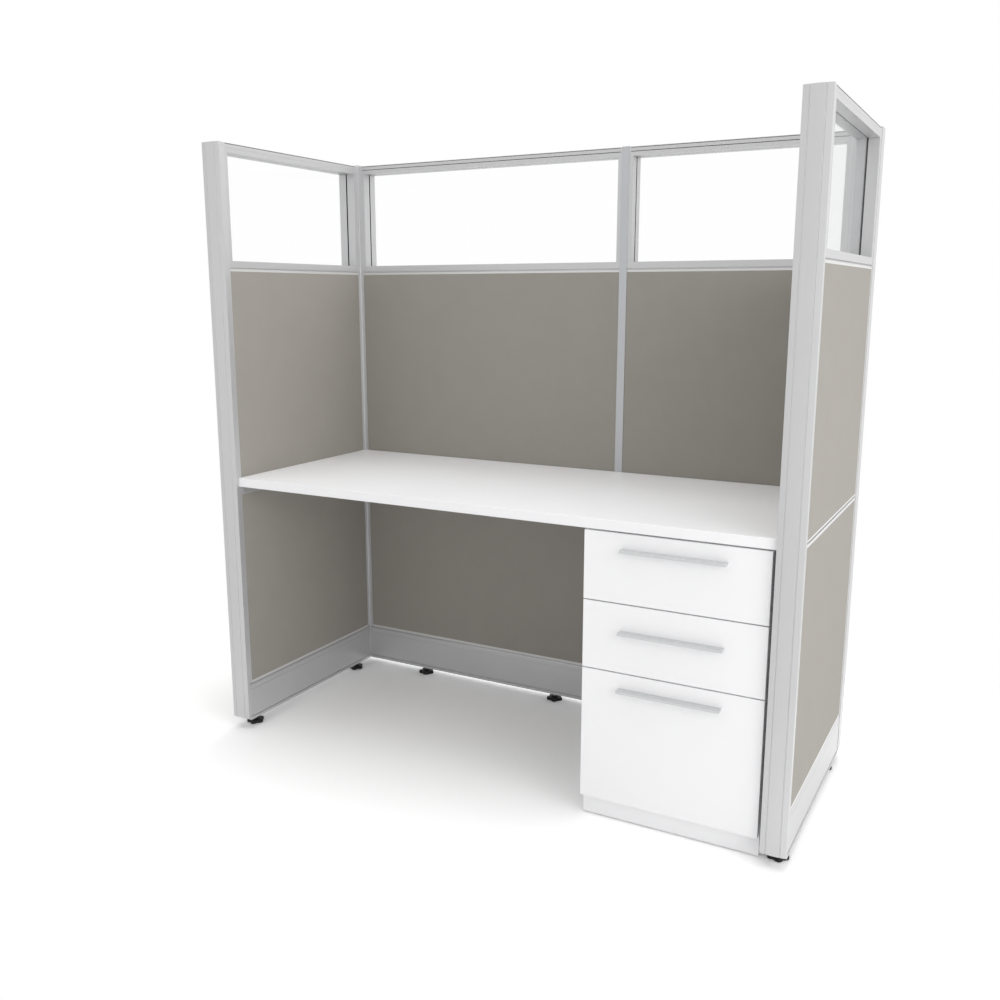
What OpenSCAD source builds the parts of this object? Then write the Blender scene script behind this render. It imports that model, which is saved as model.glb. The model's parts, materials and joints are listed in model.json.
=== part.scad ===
// Cubicle workstation: two framed back panels and two side returns round a
// worksurface, with a three-drawer pedestal under its right end.
// Inside the room, x = 0 is the left return's face, y = 0 is the back panels' face
// and z = 0 is the floor. The front is towards -Y.

/* [Panels] */
// Width of the wide back panel
wide_w = 913; // [700:1:1220]
// Width of the narrow back panel
narrow_w = 611.5; // [560:0.5:900]
// Width of each side return
return_w = 609; // [600:1:760]
// Thickness of a panel, face to face
panel_t = 58; // [54:1:70]
// Height of the panel tops above the floor
panel_top = 1679; // [1500:1:1900]
// Clear height under the panels
under_h = 28.5; // [24:0.5:50]

/* [Panel frames] */
// Width of an upright's visible face
stile_w = 11.5; // [10:0.5:13]
// Width of an upright's tube behind the tiles
upright_w = 16; // [14.5:0.5:17]
// Wall of the frame tubes
tube_wall = 2; // [1.5:0.1:2.5]
// Height of a cross rail
rail_h = 25; // [20:1:40]

/* [Tiles] */
// Thickness of a tile
tile_t = 12; // [10:0.5:15]
// Height at which the lower and upper tiles meet
tile_split_z = 758; // [700:1:820]
// Height of the upper tiles' top edge
tile_top_z = 1348; // [1200:1:1400]
// Shadow gap between two tiles, and over the top tile
tile_gap = 3; // [2:0.5:5]
// Gap between a tile's side and the upright
tile_side_gap = 0.4; // [0.2:0.1:1]
// Height of the metal strip along a tile's edge
edge_h = 7; // [4:0.5:12]
// Bevel of the metal strip
edge_bevel = 1.2; // [0.5:0.1:2]

/* [Glazing] */
// Height of the glazing sill
sill_h = 18; // [14:1:30]
// Height of the glazing head
head_h = 11; // [9:0.5:20]
// Width of a glazing jamb past the upright's tube
jamb_over = 6; // [5:0.5:10]
// Thickness of the glass
pane_t = 3; // [3:0.5:6]
// Depth of the grooves round the glass
groove_d = 4; // [3:0.5:4.5]
// Gap between the glass and the sides of the sill's and the head's groove
pane_play = 0.3; // [0.2:0.1:0.5]
// Wall of the rubber gasket beside the glass
gasket_wall = 0.6; // [0.4:0.1:1.5]
// Rubber under the upright edges of the glass, and the gap over its top edge
gasket_seat = 1.5; // [1:0.1:2]
// Height that the gasket stands out of its groove
gasket_proud = 0.3; // [0.2:0.1:1]

/* [Top caps] */
// Height of a top cap
cap_h = 14; // [9:0.5:20]
// Radius of a cap's top edges
cap_r = 1.2; // [0.8:0.1:3]
// Distance of the fine line below a cap's top
cap_line_drop = 2.6; // [2:0.1:5]
// Radius of that fine line's groove
cap_line_r = 0.7; // [0.4:0.1:0.9]
// Distance from a panel's end to the end of its cap
cap_setback = 15; // [14:0.5:20]
// Height and depth of the shadow groove under a cap
cap_groove = 2; // [1:0.5:3]
// Wall of a cap
cap_wall = 2; // [1.5:0.1:2.5]

/* [Base covers] */
// Height of the base covers' top edge above the floor
base_top_z = 140.5; // [120:0.5:160]
// Gap between the base cover and the lower tile
base_gap = 2.5; // [1.5:0.5:5]
// Height of the lower lip
lip_h = 8.5; // [6:0.5:12]
// Distance that the lower lip stands out
lip_proud = 1; // [0.5:0.1:1.2]
// Height and depth of the groove over the lip
lip_groove = 2; // [1:0.5:3]
// Radius of the cover's top edge
base_r = 5; // [2:0.5:8]
// Wall of a base cover
base_wall = 2; // [1.5:0.1:3]
// Distance of the fine line below the cover's top edge
base_line_drop = 18; // [12:1:30]
// Radius of that fine line's groove
base_line_r = 0.7; // [0.4:0.1:1]

/* [Posts and trims] */
// Distance that posts and end trims stand out past the panel faces
proud = 1.25; // [1:0.05:2]
// Height that a corner post rises over the panels
post_rise = 3.5; // [1:0.5:10]
// Radius of a corner post's outer corner
post_r = 20; // [10:1:25]
// Radius of a corner post's inner corner
post_inner_r = 2; // [1:0.5:5]
// Wall of posts and end trims
post_wall = 2.5; // [2:0.1:3]
// Depth of an end trim's straight sides
trim_side_d = 9.75; // [8:0.25:20]
// Bulge of an end trim's curved front
trim_bulge = 3.25; // [2:0.25:16]
// Distance of the fine grooves from an end trim's middle
trim_line_x = 16.25; // [10:0.25:22]
// Radius of the fine grooves
trim_line_r = 1.1; // [0.4:0.1:1.3]
// Thickness of an end trim's inner legs
trim_leg_t = 2; // [1.5:0.1:3]
// Height of posts and trims over the underside of the panels
trim_lift = 6; // [2:0.5:20]
// Thickness of the strip that covers the seam of the back panels
strip_t = 1; // [0.6:0.1:1.2]

/* [Levelling feet] */
// Distance of a foot from the end of the wide panel
foot_inset_wide = 212; // [80:1:240]
// Distance of a foot from the end of any other panel
foot_inset = 50; // [40:1:80]
// Radius of a foot over the tips of its lobes
foot_r = 26; // [22:0.5:28]
// Radius of a lobe
lobe_r = 8; // [6:0.5:9]
// Number of lobes
lobes = 5; // [4:1:7]
// Height of a foot's pad
pad_h = 9; // [6:0.5:12]
// Height of the collar on the pad
collar_h = 5; // [3:0.5:7]
// Radius of the collar
collar_r = 10; // [7:0.5:12]
// Radius of the threaded stem
stem_r = 5; // [4:0.5:6]
// Radial clearance of the stem in its nut
stem_fit = 0.06; // [0.02:0.01:0.1]
// Wall of the nut round the stem
nut_wall = 4; // [3:0.5:6]
// Length of stem over the rail
stem_spare = 12; // [5:1:30]

/* [Worksurface] */
// Height of the worksurface's top
desk_z = 766; // [730:1:790]
// Thickness of the worksurface
desk_t = 25; // [18:0.5:30]
// Distance of the worksurface's front edge past the ends of the returns
desk_over = 0.75; // [0:0.25:20]
// Gap between the worksurface's back edge and the seam cover
desk_back_gap = 1; // [0.5:0.5:5]
// Gap between the worksurface's ends and the end trims
desk_end_gap = 0.25; // [0.25:0.05:4]
// Radius of the worksurface's front edges
desk_r = 1.5; // [0.5:0.5:4]
// Thickness of the steel brackets
bracket_t = 3; // [2:0.5:4]
// Leg of the side bracket
angle_leg = 25; // [20:1:30]
// Distance of the side bracket from the ends of the return
angle_inset = 12; // [8:1:40]
// Reach of the middle bracket
arm_reach = 450; // [300:10:550]
// Height of the middle bracket at the wall
arm_h = 100; // [60:5:120]
// Height of the middle bracket at its tip
arm_tip_h = 18; // [10:1:30]
// Width of the middle bracket's flange
arm_flange_w = 40; // [30:1:60]

/* [Pedestal] */
// Width of the pedestal
ped_w = 442; // [380:1:480]
// Gap behind the pedestal
ped_back_gap = 24; // [5:1:40]
// Gap between the pedestal and the right return
ped_gap = 11; // [5:1:40]
// Distance of the case's front behind the worksurface's front edge
ped_setback = 27; // [24:0.5:28]
// Thickness of the case boards
board_t = 19; // [16:0.5:22]
// Thickness of the case's back
ped_back_t = 12; // [6:0.5:19]
// Height of the pads under the case
ped_pad_h = 3; // [2:0.5:10]
// Radius of the pads
ped_pad_r = 9; // [6:0.5:9]
// Distance of a pad from the end of the case side
ped_pad_inset = 40; // [20:1:80]
// Height of the lowest drawer front's bottom edge above the floor
toe_z = 57.8; // [45:0.1:80]
// Distance of the toe board behind the front of the case
toe_recess = 0.8; // [0.4:0.1:2]

/* [Drawers] */
// Thickness of a drawer front
front_t = 19; // [16:0.5:22]
// Gap between a drawer front and the case
front_back_gap = 3; // [2:0.5:5]
// Gap between two drawer fronts
front_gap = 3.2; // [2:0.1:5]
// Gap between the top front and the worksurface
front_top_gap = 5; // [3:0.5:8]
// Height of the file drawer's front
file_front_h = 335; // [300:1:380]
// Thickness of a drawer box's walls
box_wall = 12; // [9:0.5:16]
// Thickness of a drawer box's bottom
box_floor_t = 6; // [4:0.5:9]
// Height of a drawer box's bottom above the lower edge of its sides
box_floor_lift = 8; // [4:0.5:12]
// Gap between a drawer box and the case's back
box_back_gap = 41; // [20:1:60]
// Distance of a box drawer's sides below the top of its front
box_top_gap = 46.4; // [30:0.1:70]
// Distance of the file drawer's sides below the top of its front
file_top_gap = 79; // [30:1:120]
// Distance of a box's lower edge over the lower edge of its front
box_lift = 12; // [8:1:16]
// Distance of the file box's lower edge over the case's bottom board
file_box_lift = 7; // [4:1:20]
// Thickness of a file rail
file_rail_t = 2; // [1.5:0.5:3]
// Height of a file rail
file_rail_h = 16; // [12:1:24]
// Height that a file rail stands over the box
file_rail_rise = 6; // [3:1:12]

/* [Pulls] */
// Length of a pull
pull_len = 250; // [160:1:320]
// Distance that a pull stands out
pull_out = 23; // [16:1:40]
// Height of a pull
pull_h = 6.4; // [5:0.2:12]
// Thickness of a pull's plate over the fingers
pull_plate_t = 2; // [1.5:0.1:2.5]
// Thickness of a pull's front lip, its back flange and its closed ends
pull_wall = 2.5; // [2:0.1:4]
// Radius of a pull's front edges
pull_r = 0.8; // [0.4:0.1:1.2]
// Distance of the pull's middle below the top of the top and bottom fronts
pull_drop = 39; // [25:0.5:60]
// Distance of the pull's middle below the top of the middle front
pull_drop_mid = 66.5; // [25:0.5:84]

/* [Drawer runners] */
// Space that a runner takes beside the box
runner_t = 12.7; // [12:0.1:16]
// Height of a runner
runner_h = 45; // [36:1:46]
// Gap between a runner and the case's back
runner_back_gap = 45; // [25:1:80]
// Thickness of the runner's steel
steel_t = 1.2; // [1:0.1:1.5]
// Running gap between one runner member and the next
runner_gap = 0.35; // [0.3:0.05:0.5]
// Sideways gap between the webs of two members
web_gap = 1; // [0.6:0.1:1.5]
// Distance of a runner behind the front of the case
runner_setback = 3; // [2:0.5:10]

/* [Hidden] */
$fn = 48;
// Overrun of a cut past the face that it opens
cut = 1;
// Clearance of a metal section slid over an upright's tube
slide_fit = 0.3;
// Fine joint between two members or boards of one assembly
joint = 0.1;

PANELS = ["left_return", "back_wide", "back_narrow", "right_return"];
panel_widths = [return_w, wide_w, narrow_w, return_w];
foot_insets = [foot_inset, foot_inset_wide, foot_inset, foot_inset];
DRAWERS = [1, 2, 3];

silver = [0.78, 0.79, 0.80];
taupe = [0.69, 0.67, 0.63];
bright = [0.88, 0.88, 0.87];
steel = [0.62, 0.63, 0.64];
white = [0.95, 0.95, 0.96];
black = [0.07, 0.07, 0.07];
clear = [0.80, 0.88, 0.86, 0.35];

// Room and panels
room_w = proud + wide_w + narrow_w + proud;
seam_x = proud + wide_w;
core_t = panel_t - 2 * tile_t;
front_end_y = -proud - return_w;
tile_low_z = base_top_z + base_gap;
jamb_w = upright_w + jamb_over;
cap_z = panel_top - cap_h;
sill_z = tile_top_z + tile_gap;
glass_low_z = sill_z + sill_h;
glass_top_z = cap_z - head_h;
top_rail_h = cap_h - cap_wall;
pane_bite = groove_d - gasket_seat;
gasket_w = pane_t + 2 * gasket_wall;

// Posts and trims
post_w = panel_t + 2 * proud;
post_top = panel_top + post_rise;
trim_z = under_h + trim_lift;
trim_arc_r = (post_w * post_w / 4 + trim_bulge * trim_bulge) / (2 * trim_bulge);

// Worksurface
desk_low_z = desk_z - desk_t;
desk_back_y = -strip_t - desk_back_gap;
desk_front_y = front_end_y - desk_over;
desk_end_x = proud + desk_end_gap;

// Pedestal
ped_x1 = room_w - ped_gap;
ped_x0 = ped_x1 - ped_w;
ped_front_y = desk_front_y + ped_setback;
ped_back_y = -ped_back_gap;
ped_in_x0 = ped_x0 + board_t;
ped_in_x1 = ped_x1 - board_t;

// Drawer fronts, from the top down
front_y = ped_front_y - front_back_gap - front_t;
front_top_z = desk_low_z - front_top_gap;
box_front_h = (front_top_z - toe_z - file_front_h - 2 * front_gap) / 2;
front_heights = [box_front_h, box_front_h, file_front_h];
front_tops = [
    front_top_z,
    front_top_z - box_front_h - front_gap,
    toe_z + file_front_h
];
pull_drops = [pull_drop, pull_drop_mid, pull_drop];
box_h = box_front_h - box_lift - box_top_gap;
file_box_h = file_front_h - board_t - file_box_lift - file_top_gap;
box_heights = [box_h, box_h, file_box_h];
box_lows = [
    front_tops[0] - box_front_h + box_lift,
    front_tops[1] - box_front_h + box_lift,
    toe_z + board_t + file_box_lift
];
box_front_y = front_y + front_t;
box_back_y = ped_back_y - ped_back_t - box_back_gap;
box_x0 = ped_in_x0 + runner_t;
box_x1 = ped_in_x1 - runner_t;
runner_y = ped_front_y + runner_setback;
runner_len = ped_back_y - ped_back_t - runner_back_gap - runner_y;
runner_lift = box_h / 2;

// Half heights and sideways starts of the three nested runner members
outer_half = runner_h / 2;
middle_half = outer_half - steel_t - runner_gap;
inner_half = middle_half - steel_t - runner_gap;
middle_x = steel_t + web_gap;
inner_x = middle_x + steel_t + web_gap;

// Middle of the whole footprint, which becomes the origin
mid_x = room_w / 2;
mid_y = (min(front_y - pull_out, front_end_y - trim_side_d - trim_bulge) + panel_t + proud) / 2;

// Puts a piece drawn in the room's coordinates on the common origin
module in_room() {
    translate([-mid_x, -mid_y, 0])
        children();
}

// Puts a panel drawn along +X, with its room side towards -Y, in its place
module at_panel(i) {
    in_room() {
        if (i == 0)
            translate([-panel_t / 2, front_end_y, 0])
                rotate([0, 0, 90])
                    children();
        if (i == 1)
            translate([proud, panel_t / 2, 0])
                children();
        if (i == 2)
            translate([seam_x, panel_t / 2, 0])
                children();
        if (i == 3)
            translate([room_w + panel_t / 2, -proud, 0])
                rotate([0, 0, -90])
                    children();
    }
}

// A box from one corner to the other
module block(low, high) {
    translate(low)
        cube(high - low);
}

// Extrudes a section drawn as (y, z) along +X
module along_x(length) {
    rotate([90, 0, 90])
        linear_extrude(length)
            children();
}

// Mirrors a piece about the plane across a panel's middle, keeping the original
module both_ends(w) {
    children();
    translate([w, 0, 0])
        mirror([1, 0, 0])
            children();
}

// Mirrors a piece about the plane between a panel's faces, keeping the original
module both_faces() {
    children();
    mirror([0, 1, 0])
        children();
}

// Rectangle centred on x with its two top corners rounded
module round_top(w, h, r) {
    translate([-w / 2, 0])
        square([w, h - r]);
    translate([-w / 2 + r, 0])
        square([w - 2 * r, h]);
    for (side = [-1, 1])
        translate([side * (w / 2 - r), h - r])
            circle(r);
}

// Section drawn as (y, z), from the front at -depth to 0, with its two front edges rounded
module round_front(depth, h, r) {
    translate([-depth + r, 0])
        square([depth - r, h]);
    translate([-depth, r])
        square([depth, h - 2 * r]);
    for (z = [r, h - r])
        translate([-depth + r, z])
            circle(r);
}

// Section of an upright's tube behind the tiles
module core_section(inset) {
    translate([inset, -core_t / 2 + inset])
        square([upright_w - 2 * inset, core_t - 2 * inset]);
}

// Section of an upright's visible face, as thick as the panel
module stile_section(inset) {
    translate([inset, -panel_t / 2 + inset])
        square([stile_w - 2 * inset, panel_t - 2 * inset]);
}

// One upright: a tube whose visible part starts over the base covers
module upright() {
    translate([0, 0, under_h])
        linear_extrude(tile_low_z - under_h)
            difference() {
                core_section(0);
                core_section(tube_wall);
            }
    translate([0, 0, tile_low_z])
        linear_extrude(cap_z - tile_low_z)
            difference() {
                union() {
                    core_section(0);
                    stile_section(0);
                }
                core_section(tube_wall);
                stile_section(tube_wall);
            }
    block([0, -panel_t / 2, cap_z], [cap_setback, panel_t / 2, panel_top]);
}

// One hollow cross rail, a distance in from the panel's ends
module rail(w, z, h, inset = upright_w) {
    side = inset + joint;
    difference() {
        block([side, -core_t / 2, z], [w - side, core_t / 2, z + h]);
        block(
            [side - cut, -core_t / 2 + tube_wall, z + tube_wall],
            [w - side + cut, core_t / 2 - tube_wall, z + h - tube_wall]
        );
    }
}

// Bottom rail with the two welded nuts that take the levelling feet
module foot_rail(w, inset) {
    difference() {
        union() {
            rail(w, under_h, rail_h);
            for (x = [inset, w - inset])
                translate([x, 0, under_h])
                    cylinder(r = stem_r + nut_wall, h = rail_h);
        }
        for (x = [inset, w - inset])
            translate([x, 0, under_h - cut])
                cylinder(r = stem_r + stem_fit, h = rail_h + 2 * cut);
    }
}

module frame(i) {
    w = panel_widths[i];
    color(steel)
        at_panel(i) {
            both_ends(w)
                upright();
            foot_rail(w, foot_insets[i]);
            rail(w, tile_low_z, rail_h);
            rail(w, tile_split_z - rail_h / 2, rail_h);
            rail(w, sill_z - rail_h, rail_h);
            rail(w, cap_z, top_rail_h, max(upright_w, cap_setback));
        }
}

// A tile on each face of a panel, between its two metal edge strips
module tile_pair(i, z0, z1) {
    w = panel_widths[i];
    side = stile_w + tile_side_gap;
    color(taupe)
        at_panel(i)
            both_faces()
                block(
                    [side, -panel_t / 2, z0 + edge_h],
                    [w - side, -core_t / 2, z1 - edge_h]
                );
}

module upper_tiles(i) {
    tile_pair(i, tile_split_z + tile_gap / 2, tile_top_z);
}

module lower_tiles(i) {
    tile_pair(i, tile_low_z, tile_split_z - tile_gap / 2);
}

// Metal strip along the lower edge of a tile, bevelled on its open corner
module edge_strip(length) {
    along_x(length)
        polygon([
            [-panel_t / 2 + edge_bevel, 0],
            [-core_t / 2, 0],
            [-core_t / 2, edge_h],
            [-panel_t / 2, edge_h],
            [-panel_t / 2, edge_bevel]
        ]);
}

module tile_edge_strips() {
    side = stile_w + tile_side_gap;
    tiles_z = [
        [tile_low_z, tile_split_z - tile_gap / 2],
        [tile_split_z + tile_gap / 2, tile_top_z]
    ];
    color(bright)
        for (i = [0 : len(PANELS) - 1])
            at_panel(i)
                both_faces()
                    for (z = tiles_z)
                        translate([side, 0, 0]) {
                            length = panel_widths[i] - 2 * side;
                            translate([0, 0, z[0]])
                                edge_strip(length);
                            translate([0, 0, z[1]])
                                mirror([0, 0, 1])
                                    edge_strip(length);
                        }
}

// The room that a glazing member leaves for the uprights' tubes
module upright_slots(w) {
    both_ends(w)
        block(
            [0, -core_t / 2 - slide_fit, sill_z - cut],
            [upright_w + slide_fit, core_t / 2 + slide_fit, cap_z + cut]
        );
}

// Section of a sill or head, with the glass's groove in its top edge
module glazing_section(h) {
    groove_w = pane_t + 2 * pane_play;
    difference() {
        translate([-panel_t / 2, 0])
            square([panel_t, h]);
        translate([-groove_w / 2, h - groove_d])
            square([groove_w, groove_d + cut]);
    }
}

// Upright glazing member that wraps the upright's tube, with the gasket's groove
module jamb() {
    difference() {
        block(
            [stile_w, -panel_t / 2, glass_low_z + joint],
            [jamb_w, panel_t / 2, glass_top_z - joint]
        );
        block(
            [jamb_w - groove_d, -gasket_w / 2, glass_low_z - cut],
            [jamb_w + cut, gasket_w / 2, glass_top_z + cut]
        );
    }
}

module glazing_frame(i) {
    w = panel_widths[i];
    length = w - 2 * stile_w;
    color(silver)
        at_panel(i)
            difference() {
                union() {
                    translate([stile_w, 0, sill_z])
                        along_x(length)
                            glazing_section(sill_h);
                    translate([stile_w, 0, cap_z])
                        mirror([0, 0, 1])
                            along_x(length)
                                glazing_section(head_h);
                    both_ends(w)
                        jamb();
                }
                upright_slots(w);
            }
}

// The glass of one panel, which stands in the sill's groove
module pane(i) {
    w = panel_widths[i];
    edge = jamb_w - pane_bite;
    block(
        [edge, -pane_t / 2, glass_low_z - groove_d],
        [w - edge, pane_t / 2, glass_top_z + pane_bite]
    );
}

module glass_panes() {
    color(clear)
        for (i = [0 : len(PANELS) - 1])
            at_panel(i)
                pane(i);
}

// Rubber channel on each upright edge of the glass
module glazing_gaskets() {
    color(black)
        for (i = [0 : len(PANELS) - 1])
            at_panel(i)
                difference() {
                    both_ends(panel_widths[i])
                        block(
                            [jamb_w - groove_d, -gasket_w / 2, glass_low_z + joint],
                            [jamb_w + gasket_proud, gasket_w / 2, glass_top_z - joint]
                        );
                    pane(i);
                }
}

// Section of a top cap: a shell with a shadow groove below, a fine line near the
// top of each face, and two legs on the rail
module cap_section() {
    leg_x = core_t / 2 + slide_fit;
    difference() {
        union() {
            translate([0, cap_groove])
                round_top(panel_t, cap_h - cap_groove, cap_r);
            translate([-panel_t / 2 + cap_groove, 0])
                square([panel_t - 2 * cap_groove, cap_h - cap_r]);
        }
        translate([-panel_t / 2 + cap_groove + cap_wall, -cut])
            square([panel_t - 2 * (cap_groove + cap_wall), cap_h - cap_wall + cut]);
        for (side = [-1, 1])
            translate([side * panel_t / 2, cap_h - cap_line_drop])
                circle(cap_line_r);
    }
    for (x = [-leg_x - cap_wall, leg_x])
        translate([x, 0])
            square([cap_wall, cap_h - cap_wall + cap_wall / 2]);
}

module top_cap(i) {
    w = panel_widths[i];
    color(silver)
        at_panel(i)
            translate([cap_setback, 0, cap_z])
                along_x(w - 2 * cap_setback)
                    cap_section();
}

// Outline of a base cover on the +Y face, filled back to the frame
module base_outline() {
    face = panel_t / 2;
    body_z = under_h + lip_h + lip_groove;
    translate([core_t / 2, body_z])
        square([face - core_t / 2, base_top_z - base_r - body_z]);
    translate([core_t / 2, body_z])
        square([face - base_r - core_t / 2, base_top_z - body_z]);
    translate([face - base_r, base_top_z - base_r])
        circle(base_r);
    translate([core_t / 2, under_h])
        square([face - lip_groove - core_t / 2, lip_h + lip_groove]);
    translate([core_t / 2, under_h])
        square([face + lip_proud - core_t / 2, lip_h]);
}

// Section of a base cover: a shell, open to the frame, with one fine line
module base_section() {
    inner_y = panel_t / 2 - lip_groove - base_wall;
    low = under_h + base_wall;
    top = base_top_z - base_wall;
    difference() {
        base_outline();
        translate([core_t / 2 - cut, low])
            square([inner_y - core_t / 2 + cut, top - low]);
        translate([panel_t / 2, base_top_z - base_line_drop])
            circle(base_line_r);
    }
}

module base_covers(i) {
    w = panel_widths[i];
    color(silver)
        at_panel(i)
            both_faces()
                along_x(w)
                    base_section();
}

// Square with its corner at (-, +) rounded
module corner_square(w, r) {
    square([w, w - r]);
    translate([r, 0])
        square([w - r, w]);
    translate([r, w - r])
        circle(r);
}

// Left corner post, a tube with a closed top
module corner_post() {
    height = post_top - trim_z;
    hollow_w = post_w - 2 * post_wall;
    translate([proud - post_w, -proud, trim_z])
        difference() {
            linear_extrude(height)
                intersection() {
                    corner_square(post_w, post_r);
                    translate([post_w, post_w])
                        rotate(180)
                            corner_square(post_w, post_inner_r);
                }
            translate([post_wall, post_wall, -cut])
                linear_extrude(height - post_wall + cut)
                    corner_square(hollow_w, post_r - post_wall);
        }
}

module corner_posts() {
    color(silver)
        in_room()
            both_ends(room_w)
                corner_post();
}

// Outline of an end trim, shrunk by an inset
module trim_outline(inset) {
    half = post_w / 2 - inset;
    centre_y = -trim_side_d - trim_bulge + trim_arc_r;
    translate([-half, -trim_side_d + inset])
        square([2 * half, trim_side_d - inset]);
    intersection() {
        translate([0, centre_y])
            circle(trim_arc_r - inset, $fn = 180);
        translate([-half, -trim_side_d - trim_bulge])
            square([2 * half, trim_bulge + trim_side_d / 2]);
    }
}

// Hollow section of an end trim with its clip legs and two fine grooves
module trim_section() {
    centre_y = -trim_side_d - trim_bulge + trim_arc_r;
    line_y = centre_y - sqrt(trim_arc_r * trim_arc_r - trim_line_x * trim_line_x);
    difference() {
        trim_outline(0);
        difference() {
            union() {
                trim_outline(post_wall);
                translate([-post_w / 2 + post_wall, -cut])
                    square([post_w - 2 * post_wall, 2 * cut]);
            }
            for (side = [-1, 1])
                translate([side * trim_line_x - trim_leg_t / 2, -trim_side_d - trim_bulge])
                    square([trim_leg_t, trim_side_d + trim_bulge]);
        }
        for (side = [-1, 1])
            translate([side * trim_line_x, line_y])
                circle(trim_line_r, $fn = 24);
    }
}

// Trim over the front end of the left return, closed at the top
module end_trim() {
    translate([-panel_t / 2, front_end_y, trim_z]) {
        linear_extrude(panel_top - trim_z - post_wall)
            trim_section();
        translate([0, 0, panel_top - trim_z - post_wall])
            linear_extrude(post_wall)
                trim_outline(0);
    }
}

module end_trims() {
    color(silver)
        in_room()
            both_ends(room_w)
                end_trim();
}

// Strip over the seam of the back panels: inside, over the top and outside
module seam_cover() {
    color(silver)
        in_room()
            difference() {
                block(
                    [seam_x - stile_w, -strip_t, tile_low_z],
                    [seam_x + stile_w, panel_t + strip_t, panel_top + strip_t]
                );
                block(
                    [seam_x - stile_w - cut, 0, tile_low_z - cut],
                    [seam_x + stile_w + cut, panel_t, panel_top]
                );
            }
}

// Lobed foot on its threaded stem
module levelling_foot(i, at_far_end) {
    inset = foot_insets[i];
    x = at_far_end ? panel_widths[i] - inset : inset;
    color(black)
        at_panel(i)
            translate([x, 0, 0]) {
                cylinder(r = foot_r - lobe_r, h = pad_h);
                for (k = [0 : lobes - 1])
                    rotate([0, 0, k * 360 / lobes])
                        translate([foot_r - lobe_r, 0, 0])
                            cylinder(r = lobe_r, h = pad_h);
                translate([0, 0, pad_h])
                    cylinder(r = collar_r, h = collar_h);
                cylinder(r = stem_r, h = under_h + rail_h + stem_spare);
            }
}

module worksurface() {
    color(white)
        in_room()
            translate([desk_end_x, desk_back_y, desk_low_z])
                along_x(room_w - 2 * desk_end_x)
                    round_front(desk_back_y - desk_front_y, desk_t, desk_r);
}

// Steel angle along the left return, under the worksurface
module side_angle() {
    y0 = front_end_y + angle_inset;
    y1 = -proud - angle_inset;
    block([0, y0, desk_low_z - angle_leg], [bracket_t, y1, desk_low_z]);
    block([0, y0, desk_low_z - bracket_t], [angle_leg, y1, desk_low_z]);
}

// Tapered steel arm on the seam of the back panels
module middle_arm() {
    wall_y = -strip_t;
    web_z = desk_low_z - bracket_t;
    block(
        [seam_x - arm_flange_w / 2, wall_y - arm_reach, web_z],
        [seam_x + arm_flange_w / 2, wall_y, desk_low_z]
    );
    block(
        [seam_x - stile_w, wall_y - bracket_t, desk_low_z - arm_h],
        [seam_x + stile_w, wall_y, web_z]
    );
    translate([seam_x - bracket_t / 2, 0, 0])
        along_x(bracket_t)
            polygon([
                [wall_y, desk_low_z - arm_h],
                [wall_y, web_z],
                [wall_y - arm_reach, web_z],
                [wall_y - arm_reach, desk_low_z - arm_tip_h]
            ]);
}

module worksurface_brackets() {
    color(steel)
        in_room() {
            side_angle();
            middle_arm();
        }
}

// Two sides, a top and a bottom board
module pedestal_case() {
    color(white)
        in_room() {
            for (x = [ped_x0, ped_x1 - board_t])
                block([x, ped_front_y, ped_pad_h], [x + board_t, ped_back_y, desk_low_z]);
            for (z = [toe_z, desk_low_z - board_t])
                block(
                    [ped_in_x0 + joint, ped_front_y, z],
                    [ped_in_x1 - joint, ped_back_y - ped_back_t, z + board_t]
                );
        }
}

module pedestal_back() {
    color(white)
        in_room()
            block(
                [ped_in_x0 + joint, ped_back_y - ped_back_t, toe_z],
                [ped_in_x1 - joint, ped_back_y, desk_low_z]
            );
}

module pedestal_toe_board() {
    color(white)
        in_room()
            block(
                [ped_in_x0 + joint, ped_front_y + toe_recess, ped_pad_h],
                [ped_in_x1 - joint, ped_front_y + toe_recess + board_t, toe_z]
            );
}

module pedestal_pads() {
    color(black)
        in_room()
            for (x = [ped_x0 + board_t / 2, ped_x1 - board_t / 2])
                for (y = [ped_front_y + ped_pad_inset, ped_back_y - ped_pad_inset])
                    translate([x, y, 0])
                        cylinder(r = ped_pad_r, h = ped_pad_h);
}

// A channel of steel, open towards +X, centred on z = 0
module channel(x0, x1, half_h) {
    translate([0, runner_y, 0])
        rotate([-90, 0, 0])
            linear_extrude(runner_len)
                difference() {
                    translate([x0, -half_h])
                        square([x1 - x0, 2 * half_h]);
                    translate([x0 + steel_t, -half_h + steel_t])
                        square([x1 - x0, 2 * (half_h - steel_t)]);
                }
}

// A runner member on both sides of a drawer's box
module member_pair(d) {
    for (side = [0, 1])
        translate([side * (ped_x0 + ped_x1), 0, box_lows[d] + runner_lift])
            mirror([side, 0, 0])
                translate([ped_in_x0, 0, 0])
                    children();
}

module runner_outers() {
    color(steel)
        in_room()
            for (d = [0 : len(DRAWERS) - 1])
                member_pair(d)
                    channel(0, runner_t - steel_t - 2 * web_gap, outer_half);
}

module runner_middles(d) {
    color(steel)
        in_room()
            member_pair(d)
                channel(middle_x, runner_t - steel_t - web_gap, middle_half);
}

module runner_inners(d) {
    color(steel)
        in_room()
            member_pair(d)
                translate([inner_x + runner_t, 0, 0])
                    mirror([1, 0, 0])
                        channel(inner_x, runner_t, inner_half);
}

module drawer_front(d) {
    color(white)
        in_room()
            block(
                [ped_x0, front_y, front_tops[d] - front_heights[d]],
                [ped_x1, front_y + front_t, front_tops[d]]
            );
}

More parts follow.
